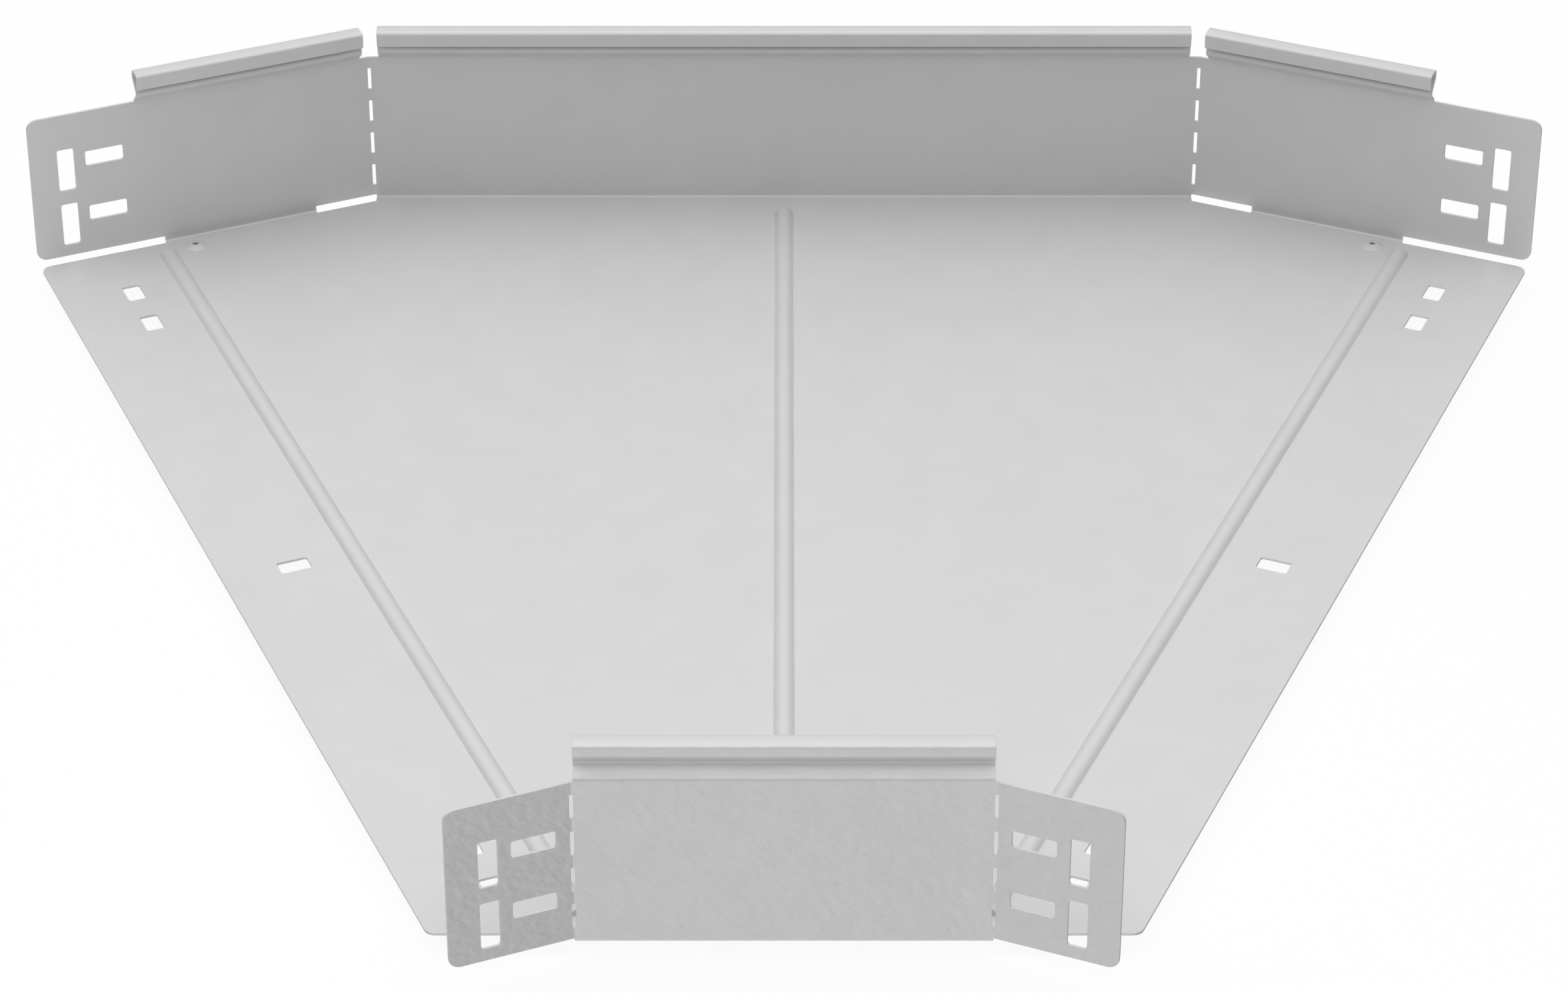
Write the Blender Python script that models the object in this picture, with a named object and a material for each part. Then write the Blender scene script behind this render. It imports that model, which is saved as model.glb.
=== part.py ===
"""Horizontal 45 degree bend for a sheet steel cable tray.

The tray is one blank of sheet steel: punched, beaded, rim-rolled and folded up.
Each outer end wall is held to the floor by a tucked-in flange and one blind rivet.
Lengths are metres. X runs across the bend (the tray is symmetric about X = 0),
Y runs from the inner wall to the outer wall, and Z is up.
"""
import math

import bmesh
import bpy
from mathutils import Matrix, Vector
from mathutils.geometry import delaunay_2d_cdt

# Sheet and overall sizes
SHEET = 0.0010
TRAY_WIDTH = 0.5000            # outside of one side wall to outside of the other
BEND_ANGLE = math.radians(45)  # whole turn, shared by two folds
INNER_WALL_LENGTH = 0.1390     # inner middle wall, fold to fold
WALL_HEIGHT = 0.0659           # floor underside to the top of the plain wall
COUPLER_LENGTH = 0.0442        # plain wall past the rim, where the next tray overlaps
FLOOR_BEND_RADIUS = 0.0008     # inside radius between floor and wall
FOLD_RADIUS = 0.0008           # inside radius of the upright folds
CORNER_RADIUS = 0.0042         # free corners of walls and floor

# Rolled rim, measured on the middle of the sheet
RIM_KINK_RADIUS = 0.0015
RIM_KINK_ANGLE = math.radians(49)
RIM_NECK_DEPTH = 0.0040        # how far the neck stands in from the wall
RIM_NECK_RADIUS = 0.0022
RIM_FLARE_ANGLE = math.radians(42)
RIM_HEEL_RADIUS = 0.0010
RIM_SIDE_LENGTH = 0.0022       # upright outer side, in line with the wall
RIM_CORNER_RADIUS = 0.0009
RIM_ARCH_RADIUS = 0.0105       # slightly arched top between its two corners
RIM_ARCH_ANGLE = math.radians(28)
RIM_TUCK_ANGLE = math.radians(4)
RIM_LIP_LENGTH = 0.0050
RIM_SETBACK_OUTER = 0.0040     # rim cut back each side of an outer fold
RIM_SETBACK_INNER = 0.0005     # rim cut back from an inner fold
RIM_END_SETBACK = 0.0006       # rim cut back from the plain coupler wall

# Slits that weaken the upright folds
WALL_TOP_MARGIN = 0.0040       # least sheet above the topmost slit or slot
SLIT_LENGTH = 0.0096
SLIT_WIDTH = 0.0015
SLIT_PITCH = 0.0149
SLIT_FIRST_HEIGHT = 0.01135

# Bolt slots in the coupler walls, a column of upright and a column of level ones
UPRIGHT_SLOT_LENGTH = 0.0186
UPRIGHT_SLOT_WIDTH = 0.0069
UPRIGHT_SLOT_FROM_PORT = 0.0149
UPRIGHT_SLOT_FIRST_HEIGHT = 0.0162
LEVEL_SLOT_WIDTH = 0.0066
LEVEL_SLOT_FIRST_HEIGHT = 0.0196
LEVEL_SLOT_FROM_UPRIGHT = 0.0046  # sheet between the two columns
LEVEL_SLOT_FROM_CORNER = 0.0055   # sheet left before the inner fold's corner
WALL_SLOT_PITCH = 0.0249
SLOT_CORNER = 0.0009

# Bolt slots in the floor beside each port
PAIR_SLOT_LENGTH = 0.0113
PAIR_SLOT_WIDTH = 0.0071
PAIR_SLOT_FROM_PORT = 0.0292
PAIR_SLOT_PITCH = 0.0249
PAIR_FROM_WALL = 0.0504        # middle of a pair from the outside of its side wall
MIDDLE_SLOT_LENGTH = 0.0117
MIDDLE_SLOT_WIDTH = 0.0074
MIDDLE_SLOT_FROM_PORT = 0.0276

# Stiffening beads pressed up in the floor
BEAD_WIDTH = 0.0079
BEAD_HEIGHT = 0.0024
BEAD_FILLET = 0.0005
BEAD_RISE = 0.0004             # length of the steep end of a bead
MIDDLE_BEAD_END_GAP = 0.0126   # from the bead's end to the wall
SIDE_BEAD_END_GAP = 0.0117
SIDE_BEAD_FROM_PORT = 0.0509

# Cut edges beside the folds
STRIP_BOTTOM = 0.0019          # lower cut edge of the end walls above the floor underside
FLOOR_SIDE_GAP = 0.0036        # outer end wall to the floor edge beside it
FLOOR_FRONT_SETBACK = 0.0039   # inner wall outside to the floor's front edge
RELIEF_OVERRUN = 0.0006        # outer relief cut past its fold corner
FLANGE_FROM_FOLD = 0.0257
FLANGE_FROM_PORT = 0.0534
FLANGE_DEPTH = 0.0200
BLANK_KERF = 0.0015            # between flange and floor edge in the flat blank
TOUCH_GAP = 0.0003             # between pieces that lie on each other

# Blind rivets
RIVET_FROM_PORT = 0.0630
RIVET_FROM_WALL = 0.0105
RIVET_SHANK_RADIUS = 0.0024
RIVET_HEAD_RADIUS = 0.00475
RIVET_HEAD_HEIGHT = 0.0013
RIVET_BRIM = 0.00015           # upright edge of the domed head
RIVET_BORE_RADIUS = 0.00115
RIVET_TAIL_RADIUS = 0.0034
RIVET_TAIL_LENGTH = 0.0034
RIVET_TAIL_FULLNESS = 0.6      # power of the bulge's curve, 1 for a plain half sine
MANDREL_RECESS = 0.0012        # broken end below the top of the head
MANDREL_BREAK_RISE = 0.0002    # ragged middle of the broken end
MANDREL_HEAD_RADIUS = 0.0022
MANDREL_HEAD_LENGTH = 0.0010
MANDREL_HEAD_ROUNDING = 0.0005

# Facets of curved stretches
BEND_STEPS = 4
FOLD_STEPS = 2
CORNER_STEPS = 5
SLOT_CORNER_STEPS = 3
HOLE_STEPS = 24
ROUND_STEPS = 32
KINK_STEPS = 3
NECK_STEPS = 6
HEEL_STEPS = 3
RIM_CORNER_STEPS = 5
ARCH_STEPS = 6
CROWN_STEPS = 4
FILLET_STEPS = 3
RISE_STEPS = 3
DOME_STEPS = 6
TAIL_STEPS = 8
SHEET_SMOOTH_ANGLE = math.radians(25)
TURNED_SMOOTH_ANGLE = math.radians(35)
MERGE_DISTANCE = 1e-6          # points closer than this are one point

HALF = SHEET / 2
FOLD_ANGLE = BEND_ANGLE / 2
HALF_FOLD = math.tan(FOLD_ANGLE / 2)
FOLD_MID_RADIUS = FOLD_RADIUS + HALF
FOLD_RUN = FOLD_MID_RADIUS * FOLD_ANGLE
BEND_MID_RADIUS = FLOOR_BEND_RADIUS + HALF
BEND_RUN = BEND_MID_RADIUS * math.pi / 2
FLANGE_LEVEL = -(TOUCH_GAP + HALF)


class Wall:
    """One side wall: where its middle surface stands and which way the inside lies."""

    def __init__(self, y, inward, relief_overrun):
        self.y = y
        self.inward = inward
        self.corner = INNER_WALL_LENGTH / 2 + y * HALF_FOLD
        self.port = COUPLER_LENGTH + y * HALF_FOLD
        self.fold_start = self.corner - FOLD_MID_RADIUS * HALF_FOLD
        self.floor_line = y + inward * BEND_MID_RADIUS
        self.relief = self.corner - HALF * HALF_FOLD - relief_overrun

    def along(self, distance):
        """Blank X of a point at a distance past the fold corner."""
        return self.fold_start + FOLD_RUN + distance - FOLD_MID_RADIUS * HALF_FOLD

    def from_port(self, distance):
        return self.along(self.port - distance)

    def row(self, height):
        """Blank Y of a height on the wall; the rim carries on past WALL_HEIGHT."""
        return self.floor_line - self.inward * (height - arc_start(HALF))

    def height(self, row):
        return arc_start(HALF) - self.inward * (row - self.floor_line)

    def plan(self, x, depth):
        """Folded X and Y of blank X, at a depth inside the wall's middle surface."""
        reach = FOLD_MID_RADIUS + self.inward * depth
        turned = min(max((x - self.fold_start) / FOLD_MID_RADIUS, 0), FOLD_ANGLE)
        straight = max(x - self.fold_start - FOLD_RUN, 0)
        plan_x = min(x, self.fold_start) + reach * math.sin(turned) + straight * math.cos(turned)
        plan_y = self.y - FOLD_MID_RADIUS + reach * math.cos(turned) - straight * math.sin(turned)
        return plan_x, plan_y


def arc_start(foot_level):
    """Developed height at which the bend from a foot at this level begins."""
    return foot_level + BEND_MID_RADIUS - BEND_RUN


INNER = Wall(HALF, 1, 0)
OUTER = Wall(TRAY_WIDTH - HALF, -1, RELIEF_OVERRUN)
RIM_FROM_PORT = COUPLER_LENGTH + RIM_END_SETBACK
LEVEL_SLOT_NEAR = UPRIGHT_SLOT_FROM_PORT + UPRIGHT_SLOT_WIDTH / 2 + LEVEL_SLOT_FROM_UPRIGHT
LEVEL_SLOT_FAR = COUPLER_LENGTH - LEVEL_SLOT_FROM_CORNER


def rim_path():
    """Length and turn of each stretch of the wall above its plain height."""
    rise = 1 - math.cos(RIM_KINK_ANGLE)
    flare = 1 - math.cos(RIM_FLARE_ANGLE)
    slope_in = (RIM_NECK_DEPTH - (RIM_KINK_RADIUS + RIM_NECK_RADIUS) * rise) / math.sin(RIM_KINK_ANGLE)
    slope_out = (RIM_NECK_DEPTH - (RIM_NECK_RADIUS + RIM_HEEL_RADIUS) * flare) / math.sin(RIM_FLARE_ANGLE)
    neck_turn = RIM_KINK_ANGLE + RIM_FLARE_ANGLE
    corner_turn = (math.pi - RIM_ARCH_ANGLE) / 2
    last_turn = corner_turn + RIM_TUCK_ANGLE
    return [
        (RIM_KINK_RADIUS * RIM_KINK_ANGLE, RIM_KINK_ANGLE, KINK_STEPS),
        (slope_in, 0, 1),
        (RIM_NECK_RADIUS * neck_turn, -neck_turn, NECK_STEPS),
        (slope_out, 0, 1),
        (RIM_HEEL_RADIUS * RIM_FLARE_ANGLE, RIM_FLARE_ANGLE, HEEL_STEPS),
        (RIM_SIDE_LENGTH, 0, 1),
        (RIM_CORNER_RADIUS * corner_turn, corner_turn, RIM_CORNER_STEPS),
        (RIM_ARCH_RADIUS * RIM_ARCH_ANGLE, RIM_ARCH_ANGLE, ARCH_STEPS),
        (RIM_CORNER_RADIUS * last_turn, last_turn, RIM_CORNER_STEPS),
        (RIM_LIP_LENGTH, 0, 1),
    ]


RIM = rim_path()
RIM_TOP = WALL_HEIGHT + sum(length for length, _, _ in RIM)


def section(height, foot_level, offset):
    """Depth and level of a point on the wall's cross section.

    The path starts on a level foot, bends up into the wall and runs on into the rim.
    The offset is measured from the middle of the sheet towards the inside.
    """
    run = height - arc_start(foot_level)
    if run < 0:
        return BEND_MID_RADIUS - run, foot_level + offset
    depth, level, angle = BEND_MID_RADIUS, foot_level, -math.pi / 2
    upright = WALL_HEIGHT - foot_level - BEND_MID_RADIUS
    for length, turn, _ in [(BEND_RUN, math.pi / 2, BEND_STEPS), (upright, 0, 1)] + RIM:
        part = min(run, length)
        if turn:
            radius = length / turn
            turned = angle + part / radius
            depth += radius * (math.cos(angle) - math.cos(turned))
            level += radius * (math.sin(turned) - math.sin(angle))
            angle = turned
        else:
            depth += part * math.sin(angle)
            level += part * math.cos(angle)
        run -= part
        if run <= 0:
            break
    return depth + offset * math.cos(angle), level - offset * math.sin(angle)


def port_point(from_port, across):
    """Floor point at a distance inside the port and across from the tray's centre line."""
    run = COUPLER_LENGTH + TRAY_WIDTH * HALF_FOLD / 2 - from_port
    corner = Vector((INNER_WALL_LENGTH / 2 + TRAY_WIDTH * HALF_FOLD / 2, TRAY_WIDTH / 2))
    return corner + run * PORT_AXIS + across * PORT_ACROSS


PORT_AXIS = Vector((math.cos(FOLD_ANGLE), -math.sin(FOLD_ANGLE)))
PORT_ACROSS = Vector((-math.sin(FOLD_ANGLE), -math.cos(FOLD_ANGLE)))
FLOOR_SIDE = SHEET + FLOOR_SIDE_GAP - TRAY_WIDTH / 2


def floor_side_row(x):
    """Blank Y of the floor's outer side edge at blank X."""
    start = port_point(0, FLOOR_SIDE)
    return start.y + (start.x - x) * math.tan(FOLD_ANGLE)


def rounded(points, radius, corners):
    """The polyline with the named corners rounded."""
    result = []
    for index, point in enumerate(points):
        if index not in corners:
            result.append(point)
            continue
        back = (points[index - 1] - point).normalized()
        ahead = (points[(index + 1) % len(points)] - point).normalized()
        half = back.angle(ahead) / 2
        centre = point + (back + ahead).normalized() * radius / math.sin(half)
        first = point + back * radius / math.tan(half) - centre
        turn = first.angle_signed(point + ahead * radius / math.tan(half) - centre)
        for step in range(CORNER_STEPS + 1):
            result.append(centre + Matrix.Rotation(-turn * step / CORNER_STEPS, 2) @ first)
    return result


def half_outline():
    """Right half of the blank, from the inner rim's free edge round to the outer one."""
    rim_in = INNER.fold_start - RIM_SETBACK_INNER
    rim_mid = OUTER.fold_start - RIM_SETBACK_OUTER
    rim_near = OUTER.along(RIM_SETBACK_OUTER)
    rim_far = OUTER.from_port(RIM_FROM_PORT)
    port_front = port_point(0, 0)
    slope = (port_front.y - FLOOR_FRONT_SETBACK) / -PORT_ACROSS.y
    front_corner = port_front + slope * PORT_ACROSS
    flange_near = OUTER.along(FLANGE_FROM_FOLD)
    flange_far = OUTER.from_port(FLANGE_FROM_PORT)
    flange_row = OUTER.row(arc_start(FLANGE_LEVEL) - FLANGE_DEPTH + HALF + BEND_MID_RADIUS)
    near_row = floor_side_row(flange_near) + BLANK_KERF / math.cos(FOLD_ANGLE)
    full_depth = flange_near + (near_row - flange_row) / math.tan(FOLD_ANGLE)
    points = [
        (rim_in, INNER.row(RIM_TOP)),
        (rim_in, INNER.row(WALL_HEIGHT)),
        (INNER.from_port(0), INNER.row(WALL_HEIGHT)),
        (INNER.from_port(0), INNER.row(STRIP_BOTTOM)),
        (INNER.relief, INNER.row(STRIP_BOTTOM)),
        (INNER.relief, FLOOR_FRONT_SETBACK),
        front_corner,
        port_point(0, FLOOR_SIDE),
        (OUTER.relief, floor_side_row(OUTER.relief)),
        (OUTER.relief, OUTER.row(STRIP_BOTTOM)),
        (flange_near, OUTER.row(STRIP_BOTTOM)),
        (flange_near, near_row),
        (full_depth, flange_row),
        (flange_far, flange_row),
        (flange_far, OUTER.row(STRIP_BOTTOM)),
        (OUTER.from_port(0), OUTER.row(STRIP_BOTTOM)),
        (OUTER.from_port(0), OUTER.row(WALL_HEIGHT)),
        (rim_far, OUTER.row(WALL_HEIGHT)),
        (rim_far, OUTER.row(RIM_TOP)),
        (rim_near, OUTER.row(RIM_TOP)),
        (rim_near, OUTER.row(WALL_HEIGHT)),
        (rim_mid, OUTER.row(WALL_HEIGHT)),
        (rim_mid, OUTER.row(RIM_TOP)),
    ]
    return rounded([Vector(point) for point in points], CORNER_RADIUS, {2, 3, 6, 7, 15, 16})


def slot_loop(centre, axis, length, width, corner=SLOT_CORNER):
    """Rounded rectangle about a centre, long side along the axis."""
    across = Vector((-axis.y, axis.x))
    loop = []
    for quarter, (along, side) in enumerate([(1, 1), (-1, 1), (-1, -1), (1, -1)]):
        middle = centre + axis * along * (length / 2 - corner) + across * side * (width / 2 - corner)
        for step in range(SLOT_CORNER_STEPS + 1):
            angle = (quarter + step / SLOT_CORNER_STEPS) * math.pi / 2
            loop.append(middle + corner * (axis * math.cos(angle) + across * math.sin(angle)))
    return loop


def circle_loop(centre, radius):
    turns = [2 * math.pi * step / HOLE_STEPS for step in range(HOLE_STEPS)]
    return [centre + radius * Vector((math.cos(turn), math.sin(turn))) for turn in turns]


def heights_up_wall(first, pitch, hole_height):
    """Middle heights of a column of holes, as many as the wall has room for."""
    room = WALL_HEIGHT - WALL_TOP_MARGIN - hole_height / 2 - first
    return [first + index * pitch for index in range(math.floor(room / pitch) + 1)]


def wall_holes(wall):
    """Fold slits and coupler slots of one side wall, on the right half of the blank."""
    level = Vector((1, 0))
    upright = Vector((0, 1))
    holes = []
    for height in heights_up_wall(SLIT_FIRST_HEIGHT, SLIT_PITCH, SLIT_LENGTH):
        centre = Vector((wall.fold_start + FOLD_RUN / 2, wall.row(height)))
        corner_x = SLIT_WIDTH / 2
        corner_y = SLIT_LENGTH / 2
        signs = [(1, 1), (-1, 1), (-1, -1), (1, -1)]
        holes.append([centre + Vector((corner_x * a, corner_y * b)) for a, b in signs])
    for height in heights_up_wall(UPRIGHT_SLOT_FIRST_HEIGHT, WALL_SLOT_PITCH, UPRIGHT_SLOT_LENGTH):
        centre = Vector((wall.from_port(UPRIGHT_SLOT_FROM_PORT), wall.row(height)))
        holes.append(slot_loop(centre, upright, UPRIGHT_SLOT_LENGTH, UPRIGHT_SLOT_WIDTH))
    for height in heights_up_wall(LEVEL_SLOT_FIRST_HEIGHT, WALL_SLOT_PITCH, LEVEL_SLOT_WIDTH):
        centre = Vector((wall.from_port((LEVEL_SLOT_NEAR + LEVEL_SLOT_FAR) / 2), wall.row(height)))
        holes.append(slot_loop(centre, level, LEVEL_SLOT_FAR - LEVEL_SLOT_NEAR, LEVEL_SLOT_WIDTH))
    return holes


def rivet_place():
    return port_point(RIVET_FROM_PORT, SHEET + RIVET_FROM_WALL - TRAY_WIDTH / 2)


def floor_holes():
    """Floor slots and both rivet holes on the right half of the blank."""
    holes = []
    for side in (-1, 1):
        for step in (-1, 1):
            across = side * (TRAY_WIDTH / 2 - PAIR_FROM_WALL) + step * PAIR_SLOT_PITCH / 2
            centre = port_point(PAIR_SLOT_FROM_PORT, across)
            holes.append(slot_loop(centre, PORT_ACROSS, PAIR_SLOT_LENGTH, PAIR_SLOT_WIDTH))
    centre = port_point(MIDDLE_SLOT_FROM_PORT, 0)
    holes.append(slot_loop(centre, PORT_AXIS, MIDDLE_SLOT_LENGTH, MIDDLE_SLOT_WIDTH))
    radius = RIVET_SHANK_RADIUS + TOUCH_GAP
    holes.append(circle_loop(rivet_place(), radius))
    depth = RIVET_FROM_WALL + HALF
    row = OUTER.row(arc_start(FLANGE_LEVEL) - depth + BEND_MID_RADIUS)
    holes.append(circle_loop(Vector((OUTER.from_port(RIVET_FROM_PORT), row)), radius))
    return holes


class Bead:
    """A straight ridge pressed up in the floor between two points."""

    def __init__(self, start, end):
        self.start = start
        self.length = (end - start).length
        self.axis = (end - start).normalized()
        self.across = Vector((-self.axis.y, self.axis.x))
        half = BEAD_WIDTH / 2
        self.crown = (half ** 2 + BEAD_HEIGHT ** 2 - 2 * BEAD_FILLET * BEAD_HEIGHT) / (2 * BEAD_HEIGHT)
        self.flank = math.asin(half / (self.crown + BEAD_FILLET))

    def offsets(self):
        """Places across the ridge where its facets meet."""
        crown_turns = [self.flank * step / CROWN_STEPS for step in range(CROWN_STEPS + 1)]
        fillet_turns = [self.flank * step / FILLET_STEPS for step in reversed(range(FILLET_STEPS))]
        half = [self.crown * math.sin(turn) for turn in crown_turns]
        half += [BEAD_WIDTH / 2 - BEAD_FILLET * math.sin(turn) for turn in fillet_turns]
        return [-value for value in reversed(half[1:])] + half

    def ends(self):
        steps = [BEAD_RISE * step / RISE_STEPS for step in range(RISE_STEPS + 1)]
        return steps + [self.length - step for step in reversed(steps)]

    def point(self, along, side):
        return self.start + along * self.axis + side * self.across

    def height(self, point):
        """Rise of the sheet at a floor point."""
        along = (point - self.start).dot(self.axis)
        side = abs((point - self.start).dot(self.across))
        end = min(along, self.length - along)
        if end <= 0 or side >= BEAD_WIDTH / 2:
            return 0.0
        ramp = 0.5 - 0.5 * math.cos(math.pi * min(end / BEAD_RISE, 1))
        if side <= self.crown * math.sin(self.flank):
            rise = BEAD_HEIGHT - self.crown + math.sqrt(self.crown ** 2 - side ** 2)
        else:
            rise = BEAD_FILLET - math.sqrt(BEAD_FILLET ** 2 - (BEAD_WIDTH / 2 - side) ** 2)
        return ramp * rise


def make_beads():
    near = SHEET + MIDDLE_BEAD_END_GAP
    beads = [Bead(Vector((0, near)), Vector((0, TRAY_WIDTH - near)))]
    reach = TRAY_WIDTH / 2 - SHEET - SIDE_BEAD_END_GAP
    side_ends = [port_point(SIDE_BEAD_FROM_PORT, across) for across in (reach, -reach)]
    for sign in (-1, 1):
        beads.append(Bead(*[Vector((sign * end.x, end.y)) for end in side_ends]))
    return beads


BEADS = make_beads()


def crease_lines():
    """Straight lines on the right half of the blank along which the sheet turns."""
    lines = []
    for wall, rims in (
        (INNER, [(0, INNER.fold_start - RIM_SETBACK_INNER)]),
        (OUTER, [
            (0, OUTER.fold_start - RIM_SETBACK_OUTER),
            (OUTER.along(RIM_SETBACK_OUTER), OUTER.from_port(RIM_FROM_PORT)),
        ]),
    ):
        for step in range(BEND_STEPS + 1):
            row = wall.row(arc_start(HALF) + BEND_RUN * step / BEND_STEPS)
            lines.append([(0, row), (wall.relief, row)])
        height = WALL_HEIGHT
        for length, _, steps in RIM:
            for step in range(steps):
                row = wall.row(height + length * step / steps)
                lines += [[(start, row), (end, row)] for start, end in rims]
            height += length
        for step in range(FOLD_STEPS + 1):
            x = wall.fold_start + FOLD_RUN * step / FOLD_STEPS
            lines.append([(x, wall.row(STRIP_BOTTOM)), (x, wall.row(WALL_HEIGHT))])
    for step in range(BEND_STEPS + 1):
        row = OUTER.row(arc_start(FLANGE_LEVEL) + BEND_RUN * step / BEND_STEPS)
        lines.append([(OUTER.along(FLANGE_FROM_FOLD), row), (OUTER.from_port(FLANGE_FROM_PORT), row)])
    return lines


def inside(point, loop):
    """Whether a point lies within a closed loop."""
    crossings = 0
    for (x1, y1), (x2, y2) in zip(loop, loop[1:] + loop[:1]):
        if (y1 > point.y) != (y2 > point.y) and point.x < x1 + (point.y - y1) * (x2 - x1) / (y2 - y1):
            crossings += 1
    return crossings % 2 == 1


def mirrored(points):
    return [Vector((-point[0], point[1])) for point in reversed(points)]


def triangulated_blank():
    """Points and triangles of the flat blank, with every crease and hole in it."""
    half = half_outline()
    outline = half + mirrored(half)
    right_holes = wall_holes(INNER) + wall_holes(OUTER) + floor_holes()
    holes = right_holes + [mirrored(hole) for hole in right_holes]
    lines = crease_lines()
    lines += [mirrored(line) for line in lines]
    for bead in BEADS:
        lines += [[bead.point(0, side), bead.point(bead.length, side)] for side in bead.offsets()]
        half_width = BEAD_WIDTH / 2
        lines += [[bead.point(end, -half_width), bead.point(end, half_width)] for end in bead.ends()]
    paths = [(outline, True)] + [(hole, True) for hole in holes] + [(line, False) for line in lines]
    points, edges = [], []
    for path, closed in paths:
        first = len(points)
        points += [Vector(point) for point in path]
        edges += [(index, index + 1) for index in range(first, len(points) - 1)]
        if closed:
            edges.append((len(points) - 1, first))
    points, _, triangles, *_ = delaunay_2d_cdt(points, edges, [], 0, MERGE_DISTANCE)
    kept = []
    for triangle in triangles:
        centre = sum((points[index] for index in triangle), Vector((0, 0))) / 3
        if inside(centre, outline) and not any(inside(centre, hole) for hole in holes):
            kept.append(triangle)
    return points, kept


def folded(point, offset):
    """Place of a blank point in the finished tray, at an offset from the sheet's middle."""
    x = abs(point.x)
    sign = -1 if point.x < 0 else 1
    past_fold = x > OUTER.corner
    outer_limit = floor_side_row(x) + BLANK_KERF / 2 if past_fold else OUTER.floor_line
    if point.y >= outer_limit:
        wall = OUTER
    elif point.y <= INNER.floor_line:
        wall = INNER
    else:
        rise = sum(bead.height(point) for bead in BEADS)
        return Vector((point.x, point.y, HALF + offset + rise))
    foot_level = FLANGE_LEVEL if wall is OUTER and past_fold else HALF
    depth, level = section(wall.height(point.y), foot_level, offset)
    plan_x, plan_y = wall.plan(x, depth)
    return Vector((sign * plan_x, plan_y, level))


def material(name, color, roughness):
    result = bpy.data.materials.new(name)
    result.use_nodes = True
    shader = result.node_tree.nodes["Principled BSDF"]
    shader.inputs["Base Color"].default_value = (*color, 1)
    shader.inputs["Metallic"].default_value = 1.0
    shader.inputs["Roughness"].default_value = roughness
    return result


def add_object(name, mesh_data, finish, parent, smooth_angle):
    mesh = bpy.data.meshes.new(name)
    mesh_data.to_mesh(mesh)
    mesh_data.free()
    mesh.shade_smooth()
    mesh.set_sharp_from_angle(angle=smooth_angle)
    mesh.materials.append(finish)
    piece = bpy.data.objects.new(name, mesh)
    piece.parent = parent
    bpy.context.scene.collection.objects.link(piece)
    return piece


def tray_mesh():
    """The folded sheet: both faces of the blank, joined along every cut edge."""
    points, triangles = triangulated_blank()
    mesh = bmesh.new()
    top = [mesh.verts.new(folded(point, HALF)) for point in points]
    bottom = [mesh.verts.new(folded(point, -HALF)) for point in points]
    directed = set()
    for a, b, c in triangles:
        mesh.faces.new((top[a], top[b], top[c]))
        mesh.faces.new((bottom[c], bottom[b], bottom[a]))
        directed |= {(a, b), (b, c), (c, a)}
    for a, b in sorted(directed):
        if (b, a) not in directed:
            mesh.faces.new((bottom[a], bottom[b], top[b], top[a]))
    loose = [vert for vert in mesh.verts if not vert.link_faces]
    bmesh.ops.delete(mesh, geom=loose, context="VERTS")
    return mesh


def turned_mesh(profile):
    """A closed profile of radius and level turned about Z."""
    mesh = bmesh.new()
    verts = [mesh.verts.new((radius, 0, level)) for radius, level in profile]
    edges = [mesh.edges.new((verts[i - 1], verts[i])) for i in range(len(verts))]
    bmesh.ops.spin(
        mesh, geom=verts + edges, cent=(0, 0, 0), axis=(0, 0, 1),
        angle=2 * math.pi, steps=ROUND_STEPS, use_merge=True,
    )
    bmesh.ops.remove_doubles(mesh, verts=mesh.verts, dist=MERGE_DISTANCE)
    bmesh.ops.recalc_face_normals(mesh, faces=mesh.faces)
    return mesh


RIVET_SEAT = SHEET + TOUCH_GAP
RIVET_BLIND_SEAT = FLANGE_LEVEL - HALF - TOUCH_GAP
RIVET_TAIL_END = RIVET_BLIND_SEAT - RIVET_TAIL_LENGTH


def rivet_profile():
    """Low domed head, shank through floor and flange, and the bulged blind side."""
    dome_rise = RIVET_HEAD_HEIGHT - RIVET_BRIM
    span = RIVET_HEAD_RADIUS - RIVET_BORE_RADIUS
    profile = []
    for step in range(DOME_STEPS + 1):
        part = step / DOME_STEPS
        drop = dome_rise * part ** 2
        profile.append((RIVET_BORE_RADIUS + span * part, RIVET_SEAT + RIVET_HEAD_HEIGHT - drop))
    profile.append((RIVET_HEAD_RADIUS, RIVET_SEAT))
    profile.append((RIVET_SHANK_RADIUS, RIVET_SEAT))
    bulge = RIVET_TAIL_RADIUS - RIVET_SHANK_RADIUS
    for step in range(TAIL_STEPS + 1):
        part = step / TAIL_STEPS
        radius = RIVET_SHANK_RADIUS + bulge * math.sin(math.pi * part) ** RIVET_TAIL_FULLNESS
        profile.append((radius, RIVET_BLIND_SEAT - RIVET_TAIL_LENGTH * part))
    profile.append((RIVET_BORE_RADIUS, RIVET_TAIL_END))
    return profile


def mandrel_profile():
    """Broken stem inside the rivet, with the head that drew the blind side up."""
    stem = RIVET_BORE_RADIUS - TOUCH_GAP
    top = RIVET_SEAT + RIVET_HEAD_HEIGHT - MANDREL_RECESS
    shoulder = RIVET_TAIL_END - TOUCH_GAP
    foot = lowest_level()
    return [
        (0, top + MANDREL_BREAK_RISE),
        (stem, top),
        (stem, shoulder),
        (MANDREL_HEAD_RADIUS, shoulder),
        (MANDREL_HEAD_RADIUS, foot + MANDREL_HEAD_ROUNDING),
        (MANDREL_HEAD_RADIUS - MANDREL_HEAD_ROUNDING, foot),
        (0, foot),
    ]


def lowest_level():
    return RIVET_TAIL_END - TOUCH_GAP - MANDREL_HEAD_LENGTH


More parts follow.
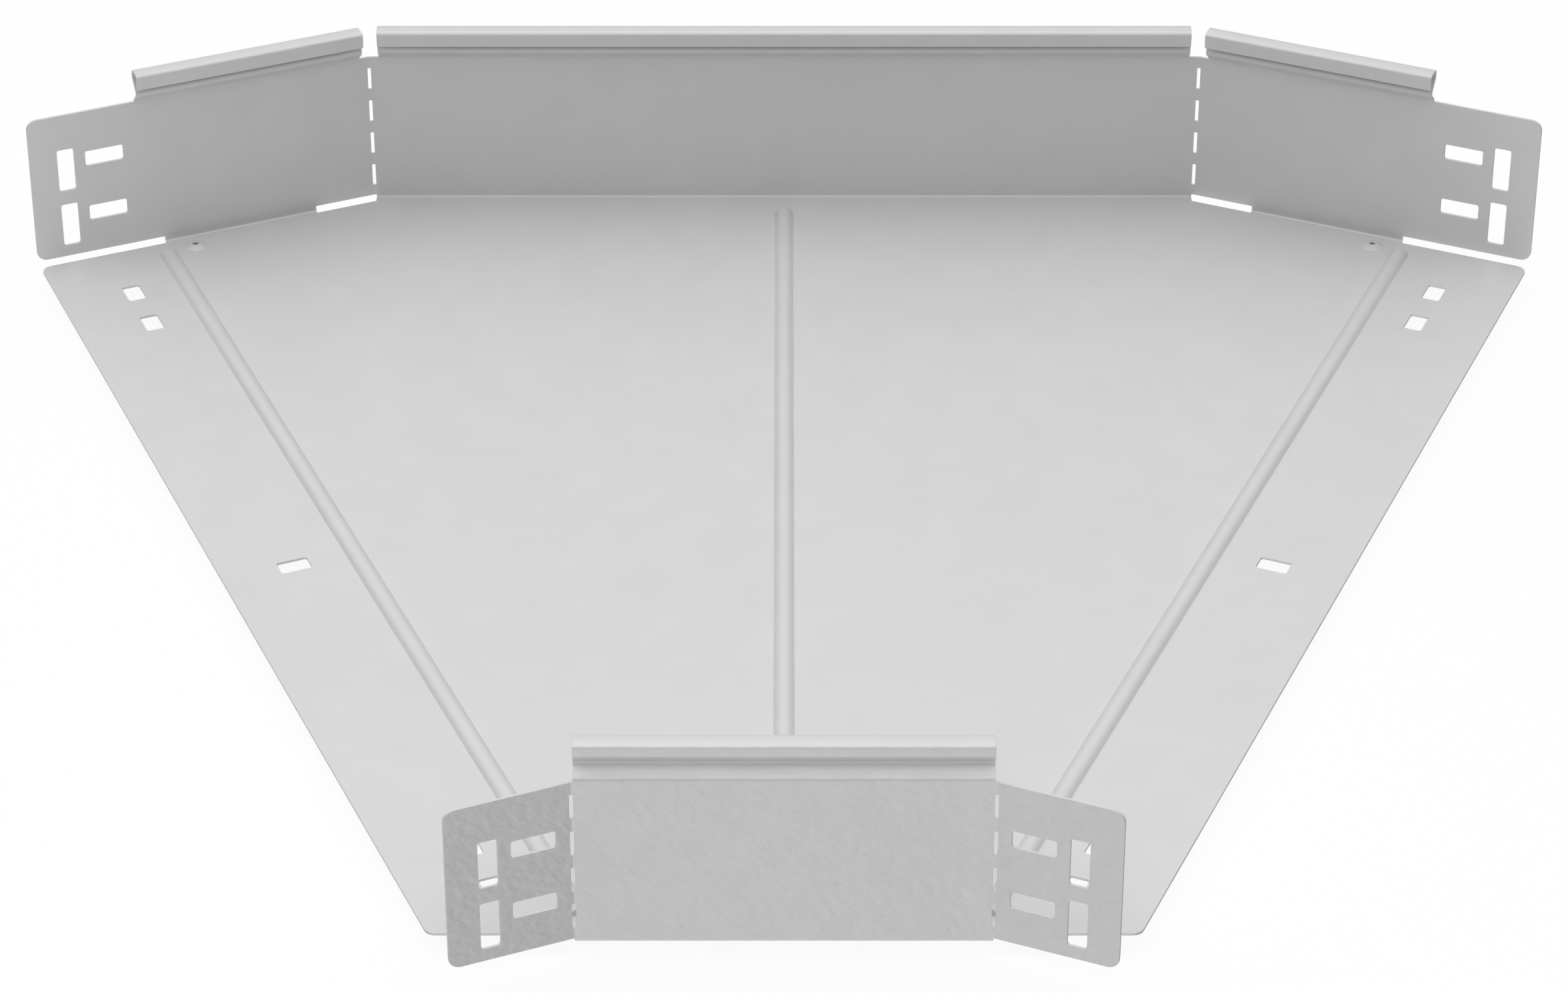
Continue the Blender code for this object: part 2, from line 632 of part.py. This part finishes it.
def main():
    for old in list(bpy.data.objects):
        bpy.data.objects.remove(old, do_unlink=True)
    sheet_finish = material("galvanised_sheet", (0.66, 0.67, 0.68), 0.45)
    rivet_finish = material("rivet_shell", (0.62, 0.63, 0.64), 0.40)
    stem_finish = material("rivet_stem", (0.40, 0.41, 0.42), 0.50)

    front = min(INNER.plan(INNER.from_port(0), -HALF)[1], port_point(0, TRAY_WIDTH / 2).y)
    frame = bpy.data.objects.new("bend_frame", None)
    frame.location = (0, -(front + TRAY_WIDTH) / 2, -lowest_level())
    bpy.context.scene.collection.objects.link(frame)

    add_object("tray_bend", tray_mesh(), sheet_finish, frame, SHEET_SMOOTH_ANGLE)
    spot = rivet_place()
    for side, sign in (("left", -1), ("right", 1)):
        for kind, profile, finish in (
            ("rivet_", rivet_profile(), rivet_finish),
            ("mandrel_", mandrel_profile(), stem_finish),
        ):
            piece = add_object(kind + side, turned_mesh(profile), finish, frame, TURNED_SMOOTH_ANGLE)
            piece.location = (sign * spot.x, spot.y, 0)


main()
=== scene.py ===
"""Looks of the galvanised cable tray bend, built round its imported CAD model.

Lengths are metres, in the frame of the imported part: X across the bend, Y from the inner
wall to the outer wall, Z up, with the lowest rivet end at Z = 0.
"""

import math

import bmesh
import bpy
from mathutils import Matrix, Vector


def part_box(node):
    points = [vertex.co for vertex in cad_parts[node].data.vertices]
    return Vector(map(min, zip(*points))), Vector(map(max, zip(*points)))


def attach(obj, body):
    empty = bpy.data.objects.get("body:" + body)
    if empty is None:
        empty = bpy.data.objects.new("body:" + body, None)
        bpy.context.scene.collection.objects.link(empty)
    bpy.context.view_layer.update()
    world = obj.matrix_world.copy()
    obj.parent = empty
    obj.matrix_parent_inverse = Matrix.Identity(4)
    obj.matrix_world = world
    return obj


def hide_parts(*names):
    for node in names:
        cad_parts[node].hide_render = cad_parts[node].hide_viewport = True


# Camera, fitted to the photograph
CAMERA_PLACE = (0.0, -1.6080, 1.0693)
CAMERA_PITCH = math.radians(32.963)   # below the horizon
CAMERA_LENS = 119.14                  # mm, as is the sensor's width
SENSOR_WIDTH = 36.0
CLIP_START = 0.05
CLIP_END = 100.0

# Every piece
SMOOTH_ANGLE = math.radians(50)       # an edge that turns further is shaded sharp

# Sheet piece
WELD_DISTANCE = 2e-6
FLAT_ANGLE = math.radians(0.4)        # facets closer than this are one flat face
CUT_ANGLE = math.radians(80)          # an edge that turns further is a cut edge
CUT_ROUNDING = 0.00012                # small radius that punching leaves on it
CUT_SEGMENTS = 2
CUT_PROFILE = 0.5                     # round

# Rivets and their broken mandrels
RIVET_SEGMENTS = 72
SEAM_DISTANCE = 1e-7                  # joins a closed profile's ends, and copies on the axis
HEAD_STEPS = 12
BRIM_STEPS = 4
TAIL_STEPS = 24
MANDREL_STEPS = 8
HEAD_SEAT = 0.0016                    # floor of the tray below the CAD head's top
HEAD_TRIM = 0.00035                   # the head pulled tight is this much lower and smaller
HEAD_DOME = 1.6                       # power of the dome's curve, 1 for a cone
HEAD_BRIM = 0.00008                   # thickness of the head's edge
HEAD_ROUNDING = 0.00006
BORE_RADIUS = 0.00115
BORE_CHAMFER = 0.00012
SHANK_RADIUS = 0.0024
TAIL_LENGTH = 0.0034
TAIL_BULGE = 0.0010                   # how far the blind side swells past the shank
TAIL_FULLNESS = 0.6                   # power of the swelling's curve, 1 for a sine
MANDREL_ROUNDING = 0.0005
MANDREL_HEAD_LENGTH = 0.0010
STEM_RADIUS = 0.00110
STEM_CREST = 0.0003                   # the broken end is a crater: its rim stands this
STEM_CRATER = 0.0007                  # much above the CAD stem's end, its bottom below it
CRATER_SIDE = ((0.0, 0.0), (0.5, 0.1), (0.8, 0.5))   # shares of STEM_RADIUS and STEM_CRATER
CRATER_RIM = 0.95                     # inner radius of the rim, as a share of STEM_RADIUS

# Finishes
NOISE_LOW = 0.3                       # nearly all of a noise lies between these two
NOISE_HIGH = 0.7
MOTTLE = {"scale": 55, "detail": 4}   # of colour
SHEEN = {"scale": 140, "detail": 3}   # of roughness
# Runs of zinc are full at the inner wall, up to -RUNS_REACH in Y, and fade to the share
# RUNS_FAR at RUNS_REACH, just before the outer wall
RUNS_REACH = 0.2
RUNS_FAR = 0.4

# Studio
WHITE = (1.0, 1.0, 1.0, 1.0)
FLOOR_SIZE = 40.0
FLOOR_COLOUR = (0.95, 0.95, 0.95)
WHITE_TO_CAMERA = 0.9                 # share of the floor that shows as plain white
DOME_STRENGTH = 1.6
# Greys of the world: in front of the object to behind it, low and high in the sky, and
# left of the object to right of it below the horizon
LOW_SKY_GREYS = (0.0, 0.0, 0.33, 0.0, 0.20)
HIGH_SKY_GREYS = (0.26, 0.26, 0.83, 0.79, 0.79)
GROUND_GREYS = (0.0, 0.63, 0.96, 0.20, 0.0)
LAMPS = (
    {"name": "overhead_lamp", "place": (0.0, 0.0, 2.4), "size": 3.4, "power": 9.4},
    {"name": "left_lamp", "place": (-1.3, 0.2, 1.6), "size": 1.6, "power": 3.6},
    {"name": "front_lamp", "place": (0.0, -1.6, 1.9), "size": 1.6, "power": 12.2},
)


def node_tree(owner):
    """The emptied node tree of a material or a world."""
    owner.use_nodes = True
    tree = owner.node_tree
    tree.nodes.clear()
    return tree


def add_node(tree, kind, **settings):
    """A shader node with its named attributes set, and its named inputs given values."""
    node = tree.nodes.new(kind)
    for name, value in settings.items():
        if name in node.inputs:
            node.inputs[name].default_value = value
        else:
            setattr(node, name, value)
    return node


def axes_of(tree, vector):
    """The X, Y and Z of a vector, by name."""
    node = add_node(tree, "ShaderNodeSeparateXYZ")
    tree.links.new(vector, node.inputs["Vector"])
    return node.outputs


def calculate(tree, operation, *values):
    """One step of arithmetic on sockets and plain numbers."""
    node = add_node(tree, "ShaderNodeMath", operation=operation)
    for entry, value in zip(node.inputs, values):
        if isinstance(value, bpy.types.NodeSocket):
            tree.links.new(value, entry)
        else:
            entry.default_value = value
    return node.outputs["Value"]


def map_range(tree, source, low, high, new_low=0.0, new_high=1.0):
    """A number that runs from low to high, mapped to the new range and kept in it."""
    node = add_node(tree, "ShaderNodeMapRange")
    node.inputs["From Min"].default_value = low
    node.inputs["From Max"].default_value = high
    node.inputs["To Min"].default_value = new_low
    node.inputs["To Max"].default_value = new_high
    tree.links.new(source, node.inputs["Value"])
    return node.outputs["Result"]


def mix_colours(tree, share, first, second):
    """The first colour where the share is 0, and the second where it is 1."""
    node = add_node(tree, "ShaderNodeMix", data_type="RGBA")
    tree.links.new(share, node.inputs["Factor"])
    tree.links.new(first, node.inputs["A"])
    tree.links.new(second, node.inputs["B"])
    return node.outputs["Result"]


def for_camera(tree, seen, otherwise):
    """One shader for what the camera sees directly, and another for all other rays."""
    rays = add_node(tree, "ShaderNodeLightPath")
    blend = add_node(tree, "ShaderNodeMixShader")
    tree.links.new(rays.outputs["Is Camera Ray"], blend.inputs["Fac"])
    tree.links.new(otherwise, blend.inputs[1])
    tree.links.new(seen, blend.inputs[2])
    return blend.outputs["Shader"]


def noise(tree, place, scale, detail, stretch=(1, 1, 1), turn=(0, 0, 0)):
    """Noise on the piece's own coordinates, with features about 1 / scale metres long.

    They are stretched along the axes that the turn gives them.
    """
    mapping = add_node(
        tree, "ShaderNodeMapping", vector_type="TEXTURE", Scale=stretch, Rotation=turn,
    )
    tree.links.new(place.outputs["Object"], mapping.inputs["Vector"])
    texture = add_node(tree, "ShaderNodeTexNoise", Scale=scale, Detail=detail)
    tree.links.new(mapping.outputs["Vector"], texture.inputs["Vector"])
    return texture.outputs["Fac"]


def run_strength(tree, place):
    """Share of the zinc's runs: 1 on the upright inner wall, RUNS_FAR on the outer wall.

    It fades to 0 on level faces.
    """
    level = calculate(tree, "ABSOLUTE", axes_of(tree, place.outputs["Normal"])["Z"])
    steep = calculate(tree, "SUBTRACT", 1.0, level)
    depth = axes_of(tree, place.outputs["Object"])["Y"]
    fade = map_range(tree, depth, -RUNS_REACH, RUNS_REACH, 1.0, RUNS_FAR)
    return calculate(tree, "MULTIPLY", steep, fade)


def metal(name, metallic, dark, light, smooth, rough, wave_height, **wave_noise):
    """A zinc or steel finish: mottled colour, uneven gloss and small waves.

    The waves are runs of zinc, so they show on upright faces and fade away on level ones.
    The scale, detail, stretch and turn of their noise come last.
    """
    finish = bpy.data.materials.new(name)
    tree = node_tree(finish)
    place = add_node(tree, "ShaderNodeTexCoord")
    output = add_node(tree, "ShaderNodeOutputMaterial")
    shader = add_node(tree, "ShaderNodeBsdfPrincipled", Metallic=metallic)
    tree.links.new(shader.outputs["BSDF"], output.inputs["Surface"])

    tint = add_node(tree, "ShaderNodeValToRGB")
    stops = tint.color_ramp.elements
    stops[0].position = NOISE_LOW
    stops[0].color = (*dark, 1)
    stops[1].position = NOISE_HIGH
    stops[1].color = (*light, 1)
    tree.links.new(noise(tree, place, **MOTTLE), tint.inputs["Fac"])
    tree.links.new(tint.outputs["Color"], shader.inputs["Base Color"])

    gloss = map_range(tree, noise(tree, place, **SHEEN), NOISE_LOW, NOISE_HIGH, smooth, rough)
    tree.links.new(gloss, shader.inputs["Roughness"])

    bump = add_node(tree, "ShaderNodeBump", Distance=wave_height)
    tree.links.new(run_strength(tree, place), bump.inputs["Strength"])
    tree.links.new(noise(tree, place, **wave_noise), bump.inputs["Height"])
    tree.links.new(bump.outputs["Normal"], shader.inputs["Normal"])
    return finish


def galvanised_sheet():
    """Zinc on the folded sheet, with slanting runs on its walls."""
    return metal(
        "zinc_sheet", metallic=0.2, dark=(0.670, 0.670, 0.672), light=(0.690, 0.690, 0.690),
        smooth=0.42, rough=0.48, wave_height=0.00045,
        scale=350, detail=1, stretch=(1.4, 1, 1), turn=(0.0, 0.45, 0.0),
    )


def rivet_shell():
    """Smoother zinc plating on the rivets."""
    return metal(
        "rivet_zinc", metallic=0.2, dark=(0.670, 0.670, 0.675), light=(0.690, 0.690, 0.695),
        smooth=0.40, rough=0.46, wave_height=0.00002, scale=1500, detail=2,
    )


def steel_with_painted_bore_shade():
    """Bare, finely rough steel of the broken mandrels, its grey darkened further as painted
    shade down in the rivets' bores.
    """
    # painted shade: these dark greys are the steel's own darker tone and also stand in for the
    # shade down in the bores
    return metal(
        "stem_steel_painted_bore_shade", metallic=0.6, dark=(0.30, 0.30, 0.305), light=(0.40, 0.40, 0.405),
        smooth=0.45, rough=0.60, wave_height=0.00008, scale=4000, detail=4,
    )


def add_piece(name, mesh, finish, node):
    """A finished piece in the place of a CAD node."""
    data = bpy.data.meshes.new(name)
    mesh.to_mesh(data)
    mesh.free()
    data.shade_smooth()
    data.set_sharp_from_angle(angle=SMOOTH_ANGLE)
    data.materials.append(finish)
    piece = bpy.data.objects.new(name, data)
    bpy.context.scene.collection.objects.link(piece)
    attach(piece, "root")
    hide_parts(node)
    return piece


def folded_sheet(finish):
    """The tray's folded sheet with clean flat faces and softly rounded cut edges."""
    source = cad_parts["tray_bend"].data
    mesh = bmesh.new()
    corners = [mesh.verts.new(vert.co) for vert in source.vertices]
    for polygon in source.polygons:
        mesh.faces.new([corners[index] for index in polygon.vertices])
    bmesh.ops.remove_doubles(mesh, verts=mesh.verts, dist=WELD_DISTANCE)
    bmesh.ops.dissolve_limit(mesh, angle_limit=FLAT_ANGLE, verts=mesh.verts, edges=mesh.edges)
    cuts = [edge for edge in mesh.edges if edge.calc_face_angle(0) > CUT_ANGLE]
    bmesh.ops.bevel(
        mesh, geom=cuts, offset=CUT_ROUNDING, segments=CUT_SEGMENTS, profile=CUT_PROFILE,
        affect="EDGES", clamp_overlap=False,
    )
    piece = add_piece("folded_sheet", mesh, finish, "tray_bend")
    even = piece.modifiers.new("even_shading", "WEIGHTED_NORMAL")
    even.keep_sharp = True


def turned(profile, centre):
    """A profile of radius and level turned about an upright axis through the centre."""
    mesh = bmesh.new()
    verts = [mesh.verts.new((centre.x + radius, centre.y, level)) for radius, level in profile]
    edges = [mesh.edges.new(pair) for pair in zip(verts, verts[1:])]
    bmesh.ops.spin(
        mesh, geom=verts + edges, cent=(centre.x, centre.y, 0), axis=(0, 0, 1),
        angle=2 * math.pi, steps=RIVET_SEGMENTS, use_merge=True,
    )
    bmesh.ops.remove_doubles(mesh, verts=mesh.verts, dist=SEAM_DISTANCE)
    bmesh.ops.recalc_face_normals(mesh, faces=mesh.faces)
    return mesh


def rivet_profile(low, high):
    """Domed head, shank and swollen blind side, closed along the bore."""
    head_radius = (high.x - low.x) / 2 - HEAD_TRIM
    top = high.z - HEAD_TRIM
    seat = high.z - HEAD_SEAT
    brim = seat + HEAD_BRIM
    lip = BORE_RADIUS + BORE_CHAMFER
    shoulder = head_radius - HEAD_ROUNDING
    profile = [(BORE_RADIUS, top - BORE_CHAMFER)]
    for step in range(HEAD_STEPS + 1):
        part = step / HEAD_STEPS
        drop = (top - brim) * part ** HEAD_DOME
        profile.append((lip + (shoulder - lip) * part, top - drop))
    for step in range(1, BRIM_STEPS + 1):
        angle = math.pi / 2 * step / BRIM_STEPS
        radius = shoulder + HEAD_ROUNDING * math.sin(angle)
        profile.append((radius, brim - HEAD_ROUNDING * (1 - math.cos(angle))))
    profile.append((head_radius, seat))
    profile.append((SHANK_RADIUS, seat))
    for step in range(TAIL_STEPS + 1):
        part = step / TAIL_STEPS
        radius = SHANK_RADIUS + TAIL_BULGE * math.sin(math.pi * part) ** TAIL_FULLNESS
        profile.append((radius, low.z + TAIL_LENGTH * (1 - part)))
    profile.append((BORE_RADIUS, low.z))
    profile.append(profile[0])
    return profile


def mandrel_profile(low, high):
    """Cratered end of the broken stem in the bore, and the head on the blind side."""
    head_radius = (high.x - low.x) / 2
    shoulder = low.z + MANDREL_HEAD_LENGTH
    crest = high.z + STEM_CREST
    bottom = high.z - STEM_CRATER
    profile = [(STEM_RADIUS * out, bottom + STEM_CRATER * up) for out, up in CRATER_SIDE]
    profile.append((STEM_RADIUS * CRATER_RIM, crest))
    profile.append((STEM_RADIUS, crest))
    profile.append((STEM_RADIUS, shoulder))
    profile.append((head_radius, shoulder))
    for step in range(MANDREL_STEPS + 1):
        angle = math.pi / 2 * step / MANDREL_STEPS
        inset = MANDREL_ROUNDING * (1 - math.cos(angle))
        profile.append((head_radius - inset, low.z + MANDREL_ROUNDING * (1 - math.sin(angle))))
    profile.append((0, low.z))
    return profile


def rivets(shell, steel):
    """The two blind rivets, each with its broken mandrel inside."""
    for side in ("left", "right"):
        for kind, profile, finish, slot in (
            ("rivet", rivet_profile, shell, "rivet_shell"),
            ("mandrel", mandrel_profile, steel, "rivet_stem"),
        ):
            node = kind + "_" + side
            low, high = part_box(node)
            mesh = turned(profile(low, high), (low + high) / 2)
            add_piece(kind + "_finished_" + side, mesh, finish, node)


def studio_floor():
    """A wide white floor that takes the object's soft shadow.

    Light bounced towards the object comes from the lower half of the world, so only
    the camera sees the floor itself.
    """
    bpy.ops.mesh.primitive_plane_add(size=FLOOR_SIZE)
    floor = bpy.context.object
    floor.name = "studio_floor"
    finish = bpy.data.materials.new("floor_paper")
    tree = node_tree(finish)
    paper = add_node(tree, "ShaderNodeBsdfDiffuse", Color=(*FLOOR_COLOUR, 1))
    glow = add_node(tree, "ShaderNodeEmission", Color=WHITE, Strength=1.0)
    white = add_node(tree, "ShaderNodeMixShader", Fac=WHITE_TO_CAMERA)
    tree.links.new(paper.outputs["BSDF"], white.inputs[1])
    tree.links.new(glow.outputs["Emission"], white.inputs[2])
    open_air = add_node(tree, "ShaderNodeBsdfTransparent")
    surface = for_camera(tree, white.outputs["Shader"], open_air.outputs["BSDF"])
    output = add_node(tree, "ShaderNodeOutputMaterial")
    tree.links.new(surface, output.inputs["Surface"])
    floor.data.materials.append(finish)


def grey_ramp(tree, source, greys):
    """Greys, evenly spaced, along a number that runs from -1 to 1."""
    ramp = add_node(tree, "ShaderNodeValToRGB")
    ramp.color_ramp.interpolation = "B_SPLINE"
    stops = ramp.color_ramp.elements
    last = len(greys) - 1
    for index in range(1, last):
        stops.new(index / last)
    for stop, grey in zip(stops, greys):
        stop.color = (grey, grey, grey, 1)
    tree.links.new(map_range(tree, source, -1, 1), ramp.inputs["Fac"])
    return ramp.outputs["Color"]


def studio_light():
    """A soft grey dome above, bounce light from below, and the large soft lamps."""
    world = bpy.data.worlds.new("studio")
    bpy.context.scene.world = world
    tree = node_tree(world)
    place = add_node(tree, "ShaderNodeTexCoord")
    axes = axes_of(tree, place.outputs["Generated"])
    low_sky = grey_ramp(tree, axes["Y"], LOW_SKY_GREYS)
    high_sky = grey_ramp(tree, axes["Y"], HIGH_SKY_GREYS)
    ground = grey_ramp(tree, axes["X"], GROUND_GREYS)
    sky = mix_colours(tree, axes["Z"], low_sky, high_sky)
    above = calculate(tree, "GREATER_THAN", axes["Z"], 0.0)
    dome = add_node(tree, "ShaderNodeBackground", Strength=DOME_STRENGTH)
    tree.links.new(mix_colours(tree, above, ground, sky), dome.inputs["Color"])
    backdrop = add_node(tree, "ShaderNodeBackground", Color=WHITE, Strength=1.0)
    surface = for_camera(tree, backdrop.outputs["Background"], dome.outputs["Background"])
    output = add_node(tree, "ShaderNodeOutputWorld")
    tree.links.new(surface, output.inputs["Surface"])

    for lamp in LAMPS:
        soft_lamp(**lamp)


def soft_lamp(name, place, size, power):
    """A square lamp that faces the origin, under the middle of the object."""
    lamp = bpy.data.lights.new(name, "AREA")
    lamp.shape = "SQUARE"
    lamp.size = size
    lamp.energy = power
    stand = bpy.data.objects.new(name, lamp)
    stand.location = place
    stand.rotation_euler = (-Vector(place)).to_track_quat("-Z", "Y").to_euler()
    bpy.context.scene.collection.objects.link(stand)


def camera():
    """The photograph's own viewpoint."""
    data = bpy.data.cameras.new("photo_camera")
    data.lens = CAMERA_LENS
    data.sensor_width = SENSOR_WIDTH
    data.clip_start = CLIP_START
    data.clip_end = CLIP_END
    view = bpy.data.objects.new("photo_camera", data)
    view.location = CAMERA_PLACE
    view.rotation_euler = (math.pi / 2 - CAMERA_PITCH, 0, 0)
    bpy.context.scene.collection.objects.link(view)
    bpy.context.scene.camera = view


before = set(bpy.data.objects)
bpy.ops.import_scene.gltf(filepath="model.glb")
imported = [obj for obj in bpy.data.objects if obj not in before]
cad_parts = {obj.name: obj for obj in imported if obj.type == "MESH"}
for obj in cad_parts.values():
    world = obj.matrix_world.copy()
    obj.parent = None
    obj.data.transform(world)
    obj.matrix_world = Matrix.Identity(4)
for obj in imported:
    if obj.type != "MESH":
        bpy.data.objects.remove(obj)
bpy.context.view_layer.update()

camera()
folded_sheet(galvanised_sheet())
rivets(rivet_shell(), steel_with_painted_bore_shade())
studio_floor()
studio_light()
bpy.context.scene.view_settings.view_transform = "Standard"
